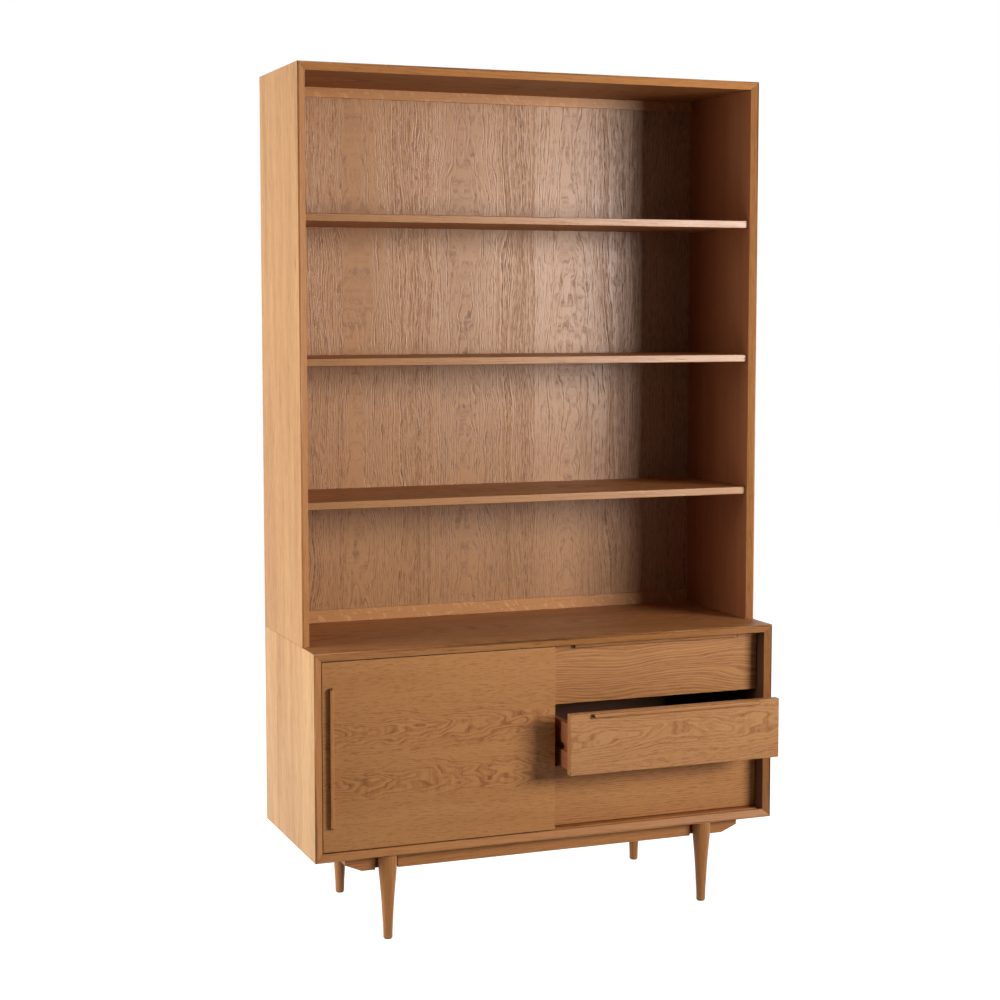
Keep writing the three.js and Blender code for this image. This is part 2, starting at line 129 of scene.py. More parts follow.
# The wood. Points come in as metres along the grain, across it and into the board.
grainInputs = {
    "Seed": 0.0,
    "Leaf width": 10.0,  # width of one sheet of veneer, or 10 m for a solid board
    "Leaf shift": 0.5,  # 0.5 where a sheet lies on the board's middle, 0 where a joint does
    "Leaf change": 0.0,  # 0 where each sheet repeats the one before, 1 where they differ
    "Leaf tone": 0.3,
    "Heart across": 0.15,  # where the middle of the log lies, and how deep under the face
    "Heart depth": 0.05,
    "Heart slope": 0.05,
    "Heart drift": 0.0,  # how far it moves out of the sheets that lie further out
    "Ring spacing": 0.0045,
    "Bend length": 0.5,
    "Bend height": 0.012,
    "Wave length": 0.09,
    "Wave height": 0.003,
    "Curl height": 0.003,  # the same waves in depth, which curl the lines over the heart
    "Heart contrast": 0.0,  # 1 where rings show over the heart alone, below 0 the other way
    "Fade length": 0.07,  # along a ring, from where it shows to where it is lost
    "Streak length": 0.045,
    "Evenness": 0.0,  # 1 where every ring shows as strongly as the next
}
grainOutputs = ["Rings", "Streaks", "Pores", "Flecks", "Tone"]

# What all boards share. Pairs are the two ends of a smooth step, and figures per metre
# say how fine a mark is.
grainShape = {
    "logJump": 3.0,  # metres along the log between sheets that differ
    "depthLayer": 6.0, "leafLayer": 0.31, "seedLayer": 3.7, "waveLayer": 5.0,
    "bendAcross": 0.3, "waveAcross": 0.35,  # width of a bend or wave, as a share of its length
    "driftPower": 3.0,
    "yearScale": 0.37, "yearSpread": 3.0,  # wide and narrow years
    "ringRise": (0.0, 0.2), "ringFall": (0.15, 0.8), "ringLayer": 0.7,
    "ringChance": 0.85, "ringLeast": 0.25, "ringEven": 0.55,
    "fade": (0.3, 0.65), "faded": 0.15,
    "streak": (0.46, 0.72), "streakAcross": 420.0, "streakDepth": 150.0,
    "pore": (0.54, 0.7), "poreAlong": 110.0, "poreAcross": 1500.0, "poreDepth": 900.0,
    "poreInRing": 0.8, "poreBetween": 0.25,
    "fleck": (0.56, 0.68), "fleckAlong": 110.0, "fleckAcross": 60.0,
    "toneAlong": 1.6, "toneAcross": 22.0,
    "roughness": 0.6, "streakRoughness": 0.65,
}


def buildGrainGroup(shape):
    tree = bpy.data.node_groups.new("woodGrain", "ShaderNodeTree")
    ways = tree.interface
    ways.new_socket(name="Point", in_out="INPUT", socket_type="NodeSocketVector")
    for name, value in grainInputs.items():
        socket = ways.new_socket(name=name, in_out="INPUT", socket_type="NodeSocketFloat")
        socket.default_value = value
    for name in grainOutputs:
        ways.new_socket(name=name, in_out="OUTPUT", socket_type="NodeSocketFloat")
    source = addNode(tree, "NodeGroupInput").outputs
    split = addNode(tree, "ShaderNodeSeparateXYZ", {"Vector": source["Point"]}).outputs
    along, across, depth = split["X"], split["Y"], split["Z"]

    # sheets of veneer laid side by side, each cut a little deeper from the log
    widths = calc(tree, "DIVIDE", across, source["Leaf width"])
    leaf = calc(tree, "FLOOR", calc(tree, "ADD", widths, source["Leaf shift"]))
    chance = chanceOf(tree, calc(tree, "ADD", leaf, source["Seed"]))
    pick = addNode(tree, "ShaderNodeSeparateColor", {"Color": chance["Color"]}).outputs
    leafPlace = calc(tree, "ADD", leaf, calc(tree, "SUBTRACT", 0.5, source["Leaf shift"]))
    leafMiddle = calc(tree, "MULTIPLY", leafPlace, source["Leaf width"])
    inLeaf = calc(tree, "SUBTRACT", across, leafMiddle)
    jump = calc(tree, "MULTIPLY", pick["Green"], source["Leaf change"])
    logAlong = calc(tree, "MULTIPLY_ADD", jump, shape["logJump"], along)
    layer = calc(tree, "MULTIPLY", depth, shape["depthLayer"])
    layer = calc(tree, "MULTIPLY_ADD", leaf, shape["leafLayer"], layer)
    layer = calc(tree, "MULTIPLY_ADD", source["Seed"], shape["seedLayer"], layer)

    def ripple(length, share, level, **look):  # noise drawn out along the grain
        width = calc(tree, "MULTIPLY", length, share)
        point = joinPoint(
            tree, calc(tree, "DIVIDE", logAlong, length), calc(tree, "DIVIDE", inLeaf, width), level
        )
        return calc(tree, "SUBTRACT", noise(tree, point, **look), 0.5)

    # long bends and short waves in the rings
    bend = ripple(source["Bend length"], shape["bendAcross"], layer, detail=1.0)
    level = calc(tree, "ADD", layer, shape["waveLayer"])
    wave = ripple(source["Wave length"], shape["waveAcross"], level, roughness=shape["roughness"])
    bent = calc(tree, "MULTIPLY_ADD", bend, source["Bend height"], inLeaf)
    bent = calc(tree, "MULTIPLY_ADD", wave, source["Wave height"], bent)

    # distance from the middle of the log, whose line sinks along the board
    outward = calc(tree, "POWER", calc(tree, "ABSOLUTE", leafMiddle), shape["driftPower"])
    drift = calc(tree, "MULTIPLY", outward, source["Heart drift"])
    side = calc(tree, "SIGN", leafMiddle)
    heart = calc(tree, "MULTIPLY_ADD", side, drift, source["Heart across"])
    fromHeart = calc(tree, "SUBTRACT", bent, heart)
    sunk = calc(tree, "MULTIPLY_ADD", along, source["Heart slope"], source["Heart depth"])
    sunk = calc(tree, "ADD", sunk, depth)
    sunk = calc(tree, "MULTIPLY_ADD", wave, source["Curl height"], sunk)
    sunkSquare = calc(tree, "MULTIPLY", sunk, sunk)
    square = calc(tree, "MULTIPLY_ADD", fromHeart, fromHeart, sunkSquare)
    radius = calc(tree, "SQRT", square)

    # rings: each starts dark and porous and fades into dense late wood
    count = calc(tree, "DIVIDE", radius, source["Ring spacing"])
    yearPlace = calc(tree, "MULTIPLY", count, shape["yearScale"])
    years = noise(tree, joinPoint(tree, yearPlace, 0.0, source["Seed"]))
    count = calc(tree, "MULTIPLY_ADD", years, shape["yearSpread"], count)
    phase = calc(tree, "FRACT", count)
    rise = spread(tree, phase, *shape["ringRise"])
    fall = spread(tree, phase, *shape["ringFall"], 1.0, 0.0)
    ring = calc(tree, "FLOOR", count)
    ringChance = chanceOf(tree, calc(tree, "ADD", ring, source["Seed"]))["Value"]
    fadePoint = joinPoint(
        tree,
        calc(tree, "DIVIDE", logAlong, source["Fade length"]),
        calc(tree, "MULTIPLY", ring, shape["ringLayer"]),
        layer,
    )
    fade = noise(tree, fadePoint, roughness=shape["roughness"])
    fade = spread(tree, fade, *shape["fade"], shape["faded"], 1.0)
    power = calc(tree, "MULTIPLY_ADD", ringChance, shape["ringChance"], shape["ringLeast"])
    power = calc(tree, "MULTIPLY", power, fade)
    missing = calc(tree, "SUBTRACT", shape["ringEven"], power)
    power = calc(tree, "MULTIPLY_ADD", missing, source["Evenness"], power)
    overHeart = calc(tree, "SUBTRACT", calc(tree, "DIVIDE", sunkSquare, square), 1.0)
    shown = calc(tree, "MULTIPLY_ADD", overHeart, source["Heart contrast"], 1.0)
    power = calc(tree, "MULTIPLY", shown, power)
    rings = calc(tree, "MULTIPLY", calc(tree, "MULTIPLY", rise, fall), power)

    # streaks and pores follow the rings
    streakPoint = joinPoint(
        tree,
        calc(tree, "DIVIDE", logAlong, source["Streak length"]),
        calc(tree, "MULTIPLY", radius, shape["streakAcross"]),
        calc(tree, "MULTIPLY", depth, shape["streakDepth"]),
    )
    streaks = noise(tree, streakPoint, detail=3.0, roughness=shape["streakRoughness"])
    streaks = spread(tree, streaks, *shape["streak"])
    porePoint = joinPoint(
        tree,
        calc(tree, "MULTIPLY", logAlong, shape["poreAlong"]),
        calc(tree, "MULTIPLY", radius, shape["poreAcross"]),
        calc(tree, "MULTIPLY", depth, shape["poreDepth"]),
    )
    pores = spread(tree, noise(tree, porePoint, detail=1.0), *shape["pore"])
    porous = calc(tree, "MULTIPLY_ADD", rings, shape["poreInRing"], shape["poreBetween"])
    pores = calc(tree, "MULTIPLY", pores, porous)

    # flecks of ray cells lie across the grain
    fleckAlong = calc(tree, "MULTIPLY", logAlong, shape["fleckAlong"])
    fleckPoint = joinPoint(
        tree,
        calc(tree, "MULTIPLY_ADD", inLeaf, shape["fleckAcross"], fleckAlong),
        calc(tree, "MULTIPLY", inLeaf, shape["fleckAcross"]),
        calc(tree, "MULTIPLY", depth, shape["fleckAcross"]),
    )
    flecks = noise(tree, fleckPoint, roughness=shape["roughness"])
    flecks = spread(tree, flecks, *shape["fleck"])

    # slow change of tone, and a step from sheet to sheet
    toneAlong = calc(tree, "MULTIPLY", logAlong, shape["toneAlong"])
    toneAcross = calc(tree, "MULTIPLY", radius, shape["toneAcross"])
    tone = noise(tree, joinPoint(tree, toneAlong, toneAcross, layer))
    sheetTone = calc(tree, "SUBTRACT", pick["Blue"], 0.5)
    tone = calc(tree, "MULTIPLY_ADD", sheetTone, source["Leaf tone"], tone)

    addNode(tree, "NodeGroupOutput", {
        "Rings": rings, "Streaks": streaks, "Pores": pores, "Flecks": flecks, "Tone": tone,
    })
    return tree


grainGroup = buildGrainGroup(grainShape)

# Finishes: colours from the darkest line to the palest wood, in linear light, with their
# places between 0 and 1, and how strongly each kind of mark shows
oiledOak = {
    "places": (0.0, 0.38, 0.66, 1.0),
    "colours": (
        (0.13, 0.038, 0.012), (0.285, 0.104, 0.033), (0.425, 0.182, 0.061), (0.56, 0.28, 0.11),
    ),
    "base": 0.72, "tone": 0.3, "rings": 0.3, "streaks": 0.12, "pores": 0.2, "flecks": 0.0,
    "roughness": (0.45, 0.36), "relief": 0.00012, "specular": 0.25,
}
finishes = {
    # painted shade: a darker, redder copy of the oak for the tops, shelves, bottoms and divider, as
    # their faces look in shade
    "oak": {
        **oiledOak,
        "colours": (
            (0.11, 0.029, 0.009), (0.245, 0.082, 0.024), (0.37, 0.143, 0.045), (0.49, 0.225, 0.084),
        ),
        "base": 0.74, "rings": 0.28, "streaks": 0.22, "roughness": (0.56, 0.44), "specular": 0.16,
    },
    # the side boards' wood with painted sheen: paler and yellower than the other oak, as a lit side
    # looks, with broad tone bands of its own
    "oakSidePaintedSheen": {
        **oiledOak,
        "colours": (
            (0.15, 0.05, 0.012), (0.3, 0.124, 0.032), (0.44, 0.213, 0.06), (0.58, 0.322, 0.11),
        ),
        "base": 0.76, "tone": 0.55, "rings": 0.26, "streaks": 0.26,
    },
    "oakBack": {
        **oiledOak,
        "colours": (
            (0.13, 0.052, 0.016), (0.25, 0.108, 0.036), (0.36, 0.167, 0.06), (0.47, 0.24, 0.1),
        ),
        "base": 0.78, "rings": 0.36, "streaks": 0.36, "roughness": (0.48, 0.3),
        "specular": 0.4, "relief": 0.0002,
    },
    "oakFront": {
        **oiledOak,
        "colours": (
            (0.13, 0.036, 0.01), (0.28, 0.1, 0.028), (0.42, 0.176, 0.054), (0.55, 0.27, 0.098),
        ),
        "base": 0.75, "rings": 0.5, "streaks": 0.26,
    },
    "oakPale": {
        **oiledOak,
        "colours": (
            (0.14, 0.042, 0.013), (0.3, 0.117, 0.037), (0.445, 0.2, 0.07), (0.575, 0.3, 0.122),
        ),
        "base": 0.76, "rings": 0.46, "streaks": 0.26,
    },
    "oakSolid": {
        **oiledOak,
        "colours": (
            (0.13, 0.036, 0.01), (0.275, 0.096, 0.026), (0.41, 0.166, 0.048), (0.54, 0.255, 0.086),
        ),
        "rings": 0.22, "streaks": 0.2,
    },
    # painted shade: a darker, redder copy of the oak for the bays' side walls, which lie in shade
    "oakInside": {
        **oiledOak,
        "colours": (
            (0.09, 0.022, 0.009), (0.21, 0.062, 0.024), (0.33, 0.115, 0.045), (0.44, 0.185, 0.08),
        ),
        "rings": 0.2, "streaks": 0.12,
    },
    "oakEdge": {
        **oiledOak,
        "colours": (
            (0.11, 0.032, 0.008), (0.24, 0.085, 0.02), (0.36, 0.15, 0.04), (0.49, 0.24, 0.08),
        ),
        "rings": 0.24, "streaks": 0.22, "roughness": (0.42, 0.3), "specular": 0.45,
    },
    "oakRail": {**oiledOak, "base": 0.8, "rings": 0.1, "streaks": 0.08, "flecks": 0.3},
    "drawerWood": {
        **oiledOak,
        "places": (0.0, 0.4, 0.68, 1.0),
        "colours": (
            (0.12, 0.03, 0.012), (0.3, 0.09, 0.033), (0.42, 0.15, 0.055), (0.52, 0.22, 0.09),
        ),
    },
    # painted shade: near-black oak for the faces inside the lower case and the drawers, which lie
    # in shade
    "paintedDeepShade": {
        **oiledOak,
        "colours": (
            (0.05, 0.018, 0.01), (0.095, 0.04, 0.022), (0.14, 0.062, 0.034), (0.19, 0.09, 0.05),
        ),
        "specular": 0.1, "roughness": (0.6, 0.5),
    },
    "plywood": {
        **oiledOak,
        "places": (0.0, 0.4, 0.7, 1.0),
        "colours": (
            (0.3, 0.16, 0.07), (0.5, 0.32, 0.16), (0.62, 0.43, 0.24), (0.7, 0.52, 0.32),
        ),
        "rings": 0.12,
    },
    "beech": {
        **oiledOak,
        "places": (0.0, 0.4, 0.7, 1.0),
        "colours": (
            (0.32, 0.16, 0.07), (0.5, 0.3, 0.15), (0.6, 0.38, 0.21), (0.68, 0.46, 0.28),
        ),
        "rings": 0.08, "streaks": 0.14,
    },
}
markSigns = {"Rings": -1, "Streaks": -1, "Pores": -1, "Flecks": 1}  # darker or paler
markDepths = {"Rings": 1.0, "Pores": 0.5, "Streaks": 0.3}  # as shares of the relief
roughStep = (0.2, 0.9)  # shades between which the roughness changes


# axes names the object's axes that run along, across and into the grain
def woodMaterial(name, finish, axes, centre, seed, grain):
    look = finishes[finish]
    material, tree = newMaterial(name)
    given = {"Vector": objectPoint(tree), "Location": [-value for value in centre]}
    shift = addNode(tree, "ShaderNodeMapping", given)
    split = addNode(tree, "ShaderNodeSeparateXYZ", {"Vector": shift.outputs[0]}).outputs
    point = joinPoint(tree, *[split[axis] for axis in axes])
    given = {"Point": point, "Seed": seed, **grain}
    found = addNode(tree, "ShaderNodeGroup", given, node_tree=grainGroup).outputs
    tone = calc(tree, "SUBTRACT", found["Tone"], 0.5)
    shade = calc(tree, "MULTIPLY_ADD", tone, look["tone"], look["base"])
    for mark, sign in markSigns.items():
        shade = calc(tree, "MULTIPLY_ADD", found[mark], sign * look[mark.lower()], shade)
    ramp = addNode(tree, "ShaderNodeValToRGB", {"Fac": shade})
    elements = ramp.color_ramp.elements
    while len(elements) < len(look["colours"]):
        elements.new(0.5)
    for element, place, colour in zip(elements, look["places"], look["colours"]):
        element.position = place
        element.color = (*colour, 1.0)
    hollow = calc(tree, "MULTIPLY", found["Rings"], -markDepths["Rings"])
    for mark in ("Pores", "Streaks"):
        hollow = calc(tree, "MULTIPLY_ADD", found[mark], -markDepths[mark], hollow)
    given = {"Height": hollow, "Strength": 1.0, "Distance": look["relief"]}
    bump = addNode(tree, "ShaderNodeBump", given)
    shader = addNode(tree, "ShaderNodeBsdfPrincipled", {
        "Base Color": ramp.outputs["Color"],
        "Roughness": spread(tree, shade, *roughStep, *look["roughness"]),
        "Normal": bump.outputs["Normal"],
        "Specular IOR Level": look["specular"],
    })
    addNode(tree, "ShaderNodeOutputMaterial", {"Surface": shader.outputs[0]})
    return material


# How sharp edges are eased, in metres and radians
easing = {
    "weld": 1e-6, "flat": math.radians(0.6), "sharp": math.radians(35), "shortest": 0.012,
    "board": 0.0006, "boardSteps": 2, "legTip": 0.0012, "legSteps": 3, "normalWeight": 80,
}


# Pieces made from the frame's own solids, with their sharp edges eased
def dressedCopy(node):
    name = node + "_board"
    build = bmesh.new()
    build.from_mesh(nodes[node].data)
    bmesh.ops.remove_doubles(build, verts=build.verts, dist=easing["weld"])
    bmesh.ops.dissolve_limit(
        build, angle_limit=easing["flat"], verts=build.verts, edges=build.edges
    )
    weight = build.edges.layers.float.new("bevel_weight_edge")
    for line in build.edges:
        if len(line.link_faces) == 2 and line.is_convex and line.calc_length() > easing["shortest"]:
            if line.calc_face_angle() > easing["sharp"]:
                line[weight] = 1.0
    for face in build.faces:
        face.smooth = True
    mesh = bpy.data.meshes.new(name)
    build.to_mesh(mesh)
    build.free()
    piece = bpy.data.objects.new(name, mesh)
    bpy.context.collection.objects.link(piece)
    easeEdges(piece, "WEIGHT", easing["board"], easing["boardSteps"])
    return applied(piece)


def easeEdges(piece, method, edge, steps):
    bevel = piece.modifiers.new("easedEdges", "BEVEL")
    bevel.limit_method = method
    bevel.angle_limit = easing["sharp"]
    bevel.width = edge
    bevel.segments = steps
    bevel.use_clamp_overlap = False
    weighted = piece.modifiers.new("evenNormals", "WEIGHTED_NORMAL")
    weighted.weight = easing["normalWeight"]


def applied(piece):  # modifiers worked into a plain mesh
    name = piece.name
    graph = bpy.context.evaluated_depsgraph_get()
    mesh = bpy.data.meshes.new_from_object(piece.evaluated_get(graph))
    bpy.data.objects.remove(piece)
    mesh.name = name
    made = bpy.data.objects.new(name, mesh)
    bpy.context.collection.objects.link(made)
    return made


def finishPiece(piece, node, material):
    piece.data.materials.clear()
    piece.data.materials.append(material)
    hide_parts(node)
    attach(piece, bodyOf[node])


def middleOf(node):
    low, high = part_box(node)
    return (low + high) / 2


# How the grain lies in each kind of piece
plainBoard = {
    "Leaf width": 0.2, "Heart across": 0.0, "Heart depth": 0.16, "Bend height": 0.02,
}
sideBoard = {
    "Leaf width": 0.21, "Leaf change": 1.0,
    "Heart across": 0.22, "Heart depth": 0.1, "Bend height": 0.03,
}
backSheet = {
    "Leaf width": 0.24, "Leaf change": 1.0,
    "Heart across": -0.06, "Heart depth": 0.06, "Heart slope": 0.025, "Heart drift": 2.0,
    "Ring spacing": 0.0036, "Bend length": 0.3, "Bend height": 0.05,
    "Wave length": 0.11, "Wave height": 0.006, "Curl height": 0.02,
    "Fade length": 0.02, "Streak length": 0.02, "Heart contrast": -0.9,
}
doorSheet = {
    "Leaf width": 0.1, "Leaf shift": 0.0, "Leaf change": 0.2, "Leaf tone": 0.06,
    "Heart across": -0.012, "Heart depth": 0.055, "Heart slope": 0.05, "Heart drift": 50.0,
    "Ring spacing": 0.003, "Bend length": 0.35, "Bend height": 0.03,
    "Wave length": 0.15, "Wave height": 0.006, "Curl height": 0.034,
    "Fade length": 0.08, "Streak length": 0.02, "Heart contrast": 0.98, "Evenness": 0.7,
}

# For each kind of piece: its finish, its axes along, across and into the grain, and the grain
boards = {
    "lower_side": ("oakSidePaintedSheen", "ZYX", sideBoard),
    "upper_side": ("oakSidePaintedSheen", "ZYX", sideBoard),
    "lower_top": ("oak", "XYZ", plainBoard),
    "lower_bottom": ("oak", "XYZ", plainBoard),
    "upper_top": ("oak", "XYZ", plainBoard),
    "shelf": ("oak", "XYZ", plainBoard),
    "divider": ("oak", "ZYX", plainBoard),
    "lower_back_panel": ("oakBack", "ZXY", backSheet),
    "upper_back_panel": ("oakBack", "ZXY", backSheet),
    "back_rail": ("oakRail", "XZY", {"Heart depth": 0.2}),
    "stretcher": ("oakSolid", "XZY", {"Heart depth": 0.12}),
    "door_panel": ("oakFront", "XZY", doorSheet),
    "door_pull": ("oakSolid", "ZXY", {"Heart depth": 0.2}),
    "drawer_front": ("oakFront", "XZY", {"Bend length": 0.35, "Bend height": 0.05}),
    "drawer_pull": ("oakSolid", "XZY", {"Heart depth": 0.2}),
    "drawer_side": ("drawerWood", "YZX", {"Heart depth": 0.1}),
    "drawer_back": ("drawerWood", "XZY", {"Heart depth": 0.1}),
    "drawer_bottom": ("plywood", "XYZ", {"Heart depth": 0.1}),
    "runner": ("beech", "YZX", {"Heart depth": 0.1}),
}
figures = {  # what sets one drawer front apart from the next
    "drawer_top_front": {
        "Heart across": -0.13, "Heart depth": 0.03, "Heart slope": 0.05,
        "Ring spacing": 0.007, "Bend length": 0.3, "Bend height": 0.06,
        "Wave length": 0.1, "Wave height": 0.005, "Curl height": 0.005,
        "Fade length": 0.2, "Evenness": 0.8,
    },
    "drawer_middle_front": {
        "Heart across": 0.012, "Heart depth": 0.05, "Heart slope": 0.05,
        "Ring spacing": 0.0055, "Bend length": 0.35, "Bend height": 0.05,
        "Wave length": 0.22, "Wave height": 0.006, "Curl height": 0.05,
        "Fade length": 0.1, "Streak length": 0.02, "Heart contrast": 0.6, "Evenness": 0.5,
    },
    "drawer_bottom_front": {
        "Heart across": 0.11, "Heart depth": 0.04, "Heart slope": 0.03,
        "Ring spacing": 0.0042, "Bend height": 0.02, "Wave length": 0.08, "Wave height": 0.004,
        "Fade length": 0.06, "Streak length": 0.025, "Heart contrast": 0.4, "Evenness": 0.4,
    },
}
frontFinishes = {"drawer_middle_front": "oakPale"}
lippings = {
    "lower_side": ("oakSolid", "ZXY"), "upper_side": ("oakSolid", "ZXY"),
    "lower_top": ("oakSolid", "XZY"), "upper_top": ("oakSolid", "XZY"),
    "lower_bottom": ("oakSolid", "XZY"), "shelf": ("oakEdge", "XZY"),
}
lippingGrain = {"Heart depth": 0.09}
seedSteps = {"lipping": 60, "inside": 30, "leg": 40.0, "dowel": 50.0}  # so that no two match

# Faces that look into the open bays, the case or a drawer, painted with darker copies of the oak as
# painted shade
toRight, toLeft, toFront = (1, 0, 0), (-1, 0, 0), (0, -1, 0)
toRear, toTop, toFloor = (0, 1, 0), (0, 0, 1), (0, 0, -1)
shadePaintedFaces = {
    "upper_side_left": ("oakInside", toRight), "upper_side_right": ("oakInside", toLeft),
    "lower_side_left": ("paintedDeepShade", toRight), "lower_side_right": ("paintedDeepShade", toLeft),
    "lower_top": ("paintedDeepShade", toFloor), "lower_back_panel": ("paintedDeepShade", toFront),
    "divider": ("paintedDeepShade", toRight),
}
drawerInsides = {
    "front": toRear, "side_left": toRight, "side_right": toLeft, "back": toFront, "bottom": toTop,
}
for level in ("bottom", "middle", "top"):
    for part, facing in drawerInsides.items():
        shadePaintedFaces[f"drawer_{level}_{part}"] = ("paintedDeepShade", facing)
facingLeast = {"lipping": 0.5, "inside": 0.9}  # how squarely a face looks that way
railDrop = 0.0009  # closes the line of light between the lower rail and the case


def kindOf(node):
    if node.startswith("drawer_"):
        return "drawer_" + node.split("_")[2]
    for kind in boards:
        if node.startswith(kind):
            return kind
    return None


def paintFaces(piece, material, facing, least):  # another wood on the faces turned one way: solid lipping, or a darker copy as painted shade
    piece.data.materials.append(material)
    for face in piece.data.polygons:
        if face.normal.dot(Vector(facing)) > least:
            face.material_index = len(piece.data.materials) - 1


def lowerFoot(piece, middle, reach):
    for point in piece.data.vertices:
        if point.co.z < middle:
            point.co.z -= reach


seed = 0.0
for node in sorted(nodes):
    kind = kindOf(node)
    if kind is None:
        continue
    seed += 1.0
    middle = middleOf(node)
    finish, axes, grain = boards[kind]
    finish = frontFinishes.get(node, finish)
    figured = {**grain, **figures.get(node, {})}
    material = woodMaterial(node + "Wood", finish, axes, middle, seed, figured)
    piece = dressedCopy(node)
    if node == "back_rail_bottom":
        lowerFoot(piece, middle.z, railDrop)
    finishPiece(piece, node, material)
    if kind in lippings:
        finish, edgeAxes = lippings[kind]
        number = seed + seedSteps["lipping"]
        lipping = woodMaterial(node + "Lipping", finish, edgeAxes, middle, number, lippingGrain)
        paintFaces(piece, lipping, toFront, facingLeast["lipping"])
    # painted shade: a darker copy of the oak on the faces that look into the bays, the case or a
    # drawer
    if node in shadePaintedFaces:
        finish, facing = shadePaintedFaces[node]
        number = seed + seedSteps["inside"]
        inside = woodMaterial(node + "Inside", finish, axes, middle, number, grain)
        paintFaces(piece, inside, facing, facingLeast["inside"])
print("boards dressed")


# Shapes grown by Geometry Nodes
def newShape(name, sizes):
    tree = bpy.data.node_groups.new(name, "GeometryNodeTree")
    tree.is_modifier = True
    ways = tree.interface
    ways.new_socket(name="Geometry", in_out="INPUT", socket_type="NodeSocketGeometry")
    for label, kind in sizes.items():
        ways.new_socket(name=label, in_out="INPUT", socket_type="NodeSocket" + kind)
    ways.new_socket(name="Geometry", in_out="OUTPUT", socket_type="NodeSocketGeometry")
    return tree, addNode(tree, "NodeGroupInput").outputs


def endShape(tree, geometry, material):
    real = addNode(tree, "GeometryNodeRealizeInstances", {"Geometry": geometry})
    given = {"Geometry": real.outputs[0], "Material": material}
    painted = addNode(tree, "GeometryNodeSetMaterial", given)
    addNode(tree, "NodeGroupOutput", {"Geometry": painted.outputs[0]})
    return tree


def moved(tree, geometry, by):
    given = {"Geometry": geometry, "Translation": by}
    return addNode(tree, "GeometryNodeTransform", given).outputs[0]


def growShape(name, tree, values, points=(), edge=0.0):
    mesh = bpy.data.meshes.new(name)
    mesh.from_pydata(points, [], [])
    piece = bpy.data.objects.new(name, mesh)
    bpy.context.collection.objects.link(piece)
    growth = piece.modifiers.new("growth", "NODES")
    growth.node_group = tree
    for socket in tree.interface.items_tree:
        if socket.in_out == "INPUT" and socket.name in values:
            growth[socket.identifier] = values[socket.name]
    if edge:
        easeEdges(piece, "ANGLE", edge, easing["legSteps"])
    return applied(piece)


# Legs: turned, with a tapering body and a spigot let into the case's floor
legSpec = {
    "Sides": 72, "Rows": 36, "Shoulder height": 0.1869, "Tip height": 0.0021,
    "Shoulder radius": 0.021, "Tip radius": 0.0102, "Spigot radius": 0.011, "Spigot length": 0.0131,
}
legTaper = [  # depth down the leg, and how much of the taper is done there
    (0.0, 0.0), (0.08, 0.03), (0.17, 0.09), (0.33, 0.33), (0.53, 0.61), (0.73, 0.81), (0.89, 0.96),
    (1.0, 1.0),
]
legGrain = {"Heart depth": 0.1}


def buildLegTree():
    kinds = {name: "Int" if name in ("Sides", "Rows") else "Float" for name in legSpec}
    tree, sizes = newShape("turnedLeg", {**kinds, "Foot": "Vector", "Wood": "Material"})
    blank = addNode(tree, "GeometryNodeMeshCylinder", {
        "Vertices": sizes["Sides"], "Side Segments": sizes["Rows"], "Radius": 1.0, "Depth": 1.0,
    }).outputs["Mesh"]
    place = addNode(tree, "GeometryNodeInputPosition").outputs[0]
    at = addNode(tree, "ShaderNodeSeparateXYZ", {"Vector": place}).outputs
    down = calc(tree, "SUBTRACT", 0.5, at["Z"])  # 0 at the shoulder, 1 at the tip
    curve = addNode(tree, "ShaderNodeFloatCurve", {"Value": down})
    points = curve.mapping.curves[0].points
    while len(points) < len(legTaper):
        points.new(0.5, 0.5)
    for point, spot in zip(points, legTaper):
        point.location = spot
    curve.mapping.update()
    thinner = calc(tree, "SUBTRACT", sizes["Tip radius"], sizes["Shoulder radius"])
    radius = calc(tree, "MULTIPLY_ADD", curve.outputs[0], thinner, sizes["Shoulder radius"])
    lower = calc(tree, "SUBTRACT", sizes["Tip height"], sizes["Shoulder height"])
    height = calc(tree, "MULTIPLY_ADD", down, lower, sizes["Shoulder height"])
    outX, outY = (calc(tree, "MULTIPLY", at[axis], radius) for axis in "XY")
    given = {"Geometry": blank, "Position": joinPoint(tree, outX, outY, height)}
    body = addNode(tree, "GeometryNodeSetPosition", given).outputs[0]
    spigot = addNode(tree, "GeometryNodeMeshCylinder", {
        "Vertices": sizes["Sides"], "Radius": sizes["Spigot radius"],
        "Depth": calc(tree, "MULTIPLY", sizes["Spigot length"], 2.0),  # half of it stays in the leg
    }).outputs["Mesh"]
    spigot = moved(tree, spigot, joinPoint(tree, 0.0, 0.0, sizes["Shoulder height"]))
    both = addNode(tree, "GeometryNodeJoinGeometry", {"Geometry": body})
    tree.links.new(spigot, both.inputs["Geometry"])
    placed = moved(tree, both.outputs[0], sizes["Foot"])
    smooth = addNode(tree, "GeometryNodeSetShadeSmooth", {"Geometry": placed}).outputs[0]
    return endShape(tree, smooth, sizes["Wood"])


legTree = buildLegTree()
for number, node in enumerate(sorted(name for name in nodes if name.startswith("leg_"))):
    middle = middleOf(node)
    seed = seedSteps["leg"] + number
    wood = woodMaterial(node + "Wood", "oakSolid", "ZXY", middle, seed, legGrain)
    values = {**legSpec, "Foot": (middle.x, middle.y, 0.0), "Wood": wood}
    piece = growShape(node + "_turned", legTree, values, edge=easing["legTip"])
    finishPiece(piece, node, wood)
print("legs turned")

